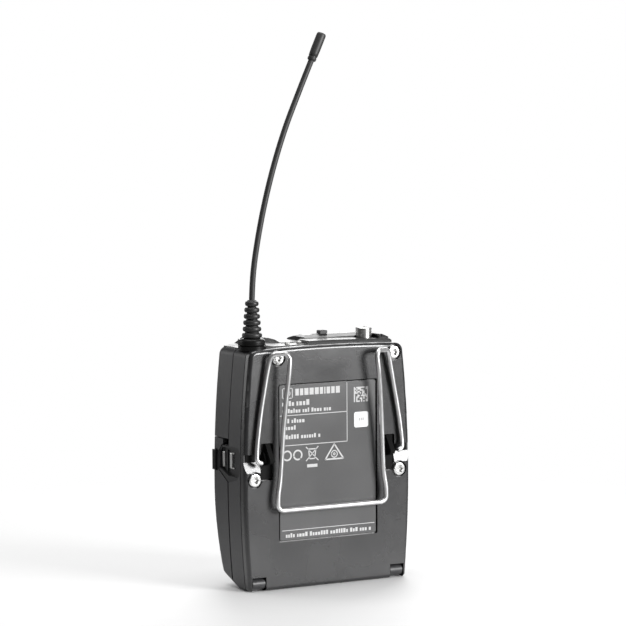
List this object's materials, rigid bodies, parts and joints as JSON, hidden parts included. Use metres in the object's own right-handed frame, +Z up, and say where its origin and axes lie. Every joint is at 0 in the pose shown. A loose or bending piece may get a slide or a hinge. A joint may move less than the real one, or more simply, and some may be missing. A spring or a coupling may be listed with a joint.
{
  "type": "wireless bodypack transmitter",
  "caption": "Wireless microphone bodypack transmitter with a wire belt clip, whip antenna, microphone jack, hinged battery cover and display.",
  "frame": {"origin": "middle of the flat base that the pack stands on", "axes": "+Z up through the case, +Y out of the back where the clip is, -Y out of the display side, +X the antenna side"},
  "size_m": [0.0662, 0.0297, 0.1874],
  "materials": {
    "grey_metal": "fine textured satin paint",
    "dark_metal": "fine textured satin paint",
    "dark_shell": "fine textured satin paint",
    "black_plastic": "moulded, satin",
    "label_sheet": "printed polyester sheet",
    "clip_wire": "polished spring wire",
    "bright_steel": "machined",
    "spring_steel": "nickel plated",
    "boot_rubber": "matte",
    "whip_rubber": "satin",
    "steel_core": "drawn wire",
    "brass_parts": "machined",
    "nickel_brass": "nickel plated",
    "mute_grey": "moulded, satin",
    "led_lens": "clear",
    "window": "polished",
    "lcd": "smooth",
    "ir_lens": "polished",
    "board": "solder mask",
    "chip": "moulded",
    "tin_shield": "tinned",
    "flex": "polyimide film",
    "key_grey": "matte",
    "key_power": "matte",
    "cell_can": "shrink sleeve",
    "foam": "closed-cell foam"
  },
  "bodies": {
    "case": {"antenna_boot": "boot_rubber", "antenna_collar": "black_plastic", "antenna_terminal": "brass_parts", "battery_a": "cell_can", "battery_b": "cell_can", "battery_contacts": "spring_steel", "battery_springs": "spring_steel", "battery_tray": "black_plastic", "board_chips": "chip", "board_screws": "bright_steel", "charge_contacts": "nickel_brass", "clip_legs": "clip_wire", "clip_lugs": "black_plastic", "contact_block": "black_plastic", "control_panel": "black_plastic", "display_window": "window", "dome_switches": "tin_shield", "flex_cable": "flex", "front_shell": "dark_shell", "hinge_pins": "bright_steel", "ir_window": "ir_lens", "jack_body": "black_plastic", "jack_collar": "nickel_brass", "jack_contacts": "brass_parts", "keypad_board": "board", "label_plate": "label_sheet", "lcd_frame": "black_plastic", "lcd_panel": "lcd", "led_lenses": "led_lens", "main_board": "board", "middle_frame": "dark_metal", "mute_switch": "black_plastic", "rear_plate": "grey_metal", "rear_screws": "bright_steel", "rf_shield": "tin_shield", "top_insert": "black_plastic"},
    "cover": {"battery_cover": "dark_shell", "cover_pad": "foam", "catch_spring_right": "spring_steel", "catch_spring_left": "spring_steel"},
    "catch_right_body": {"catch_right": "black_plastic"},
    "catch_left_body": {"catch_left": "black_plastic"},
    "mute": {"mute_slider": "mute_grey"},
    "set_key": {"set_button": "key_grey"},
    "power_key": {"power_button": "key_power"},
    "rocker": {"rocker_key": "key_grey"},
    "clip": {"clip_loop": "clip_wire"},
    "antenna": {"antenna_whip": "whip_rubber", "antenna_core": "steel_core", "antenna_tip": "whip_rubber"}
  },
  "joints": [
    {"name": "cover_hinge", "type": "hinge", "parent": "case", "child": "cover", "pos_m": [0, 0.005, 0.0024], "axis": [1, 0, 0], "range_deg": [0, 100]},
    {"name": "catch_right_press", "type": "slide", "parent": "cover", "child": "catch_right_body", "axis": [-1, 0, 0], "range_m": [0, 0.0008], "stiffness_N_per_m": 800, "deforming": ["catch_spring_right"]},
    {"name": "catch_left_press", "type": "slide", "parent": "cover", "child": "catch_left_body", "axis": [1, 0, 0], "range_m": [0, 0.0008], "stiffness_N_per_m": 800, "deforming": ["catch_spring_left"]},
    {"name": "mute_slide", "type": "slide", "parent": "case", "child": "mute", "axis": [1, 0, 0], "range_m": [0, 0.003]},
    {"name": "set_press", "type": "slide", "parent": "case", "child": "set_key", "axis": [0, 1, 0], "range_m": [0, 0.0005], "stiffness_N_per_m": 1500},
    {"name": "power_press", "type": "slide", "parent": "case", "child": "power_key", "axis": [0, 1, 0], "range_m": [0, 0.0005], "stiffness_N_per_m": 1500},
    {"name": "rocker_tilt", "type": "hinge", "parent": "case", "child": "rocker", "pos_m": [0.017, -0.0069, 0.029], "axis": [1, 0, 0], "range_deg": [-4, 4], "stiffness_Nm_per_rad": 0.08},
    {"name": "clip_flex", "type": "hinge", "parent": "case", "child": "clip", "pos_m": [0, 0.0088, 0.0767], "axis": [1, 0, 0], "range_deg": [0, 10], "stiffness_Nm_per_rad": 1},
    {"name": "antenna_flex", "type": "hinge", "parent": "case", "child": "antenna", "pos_m": [0.0256, 0.0005, 0.091], "axis": [0, 1, 0], "range_deg": [-30, 30], "stiffness_Nm_per_rad": 0.06, "deforming": ["antenna_boot"]}
  ]
}
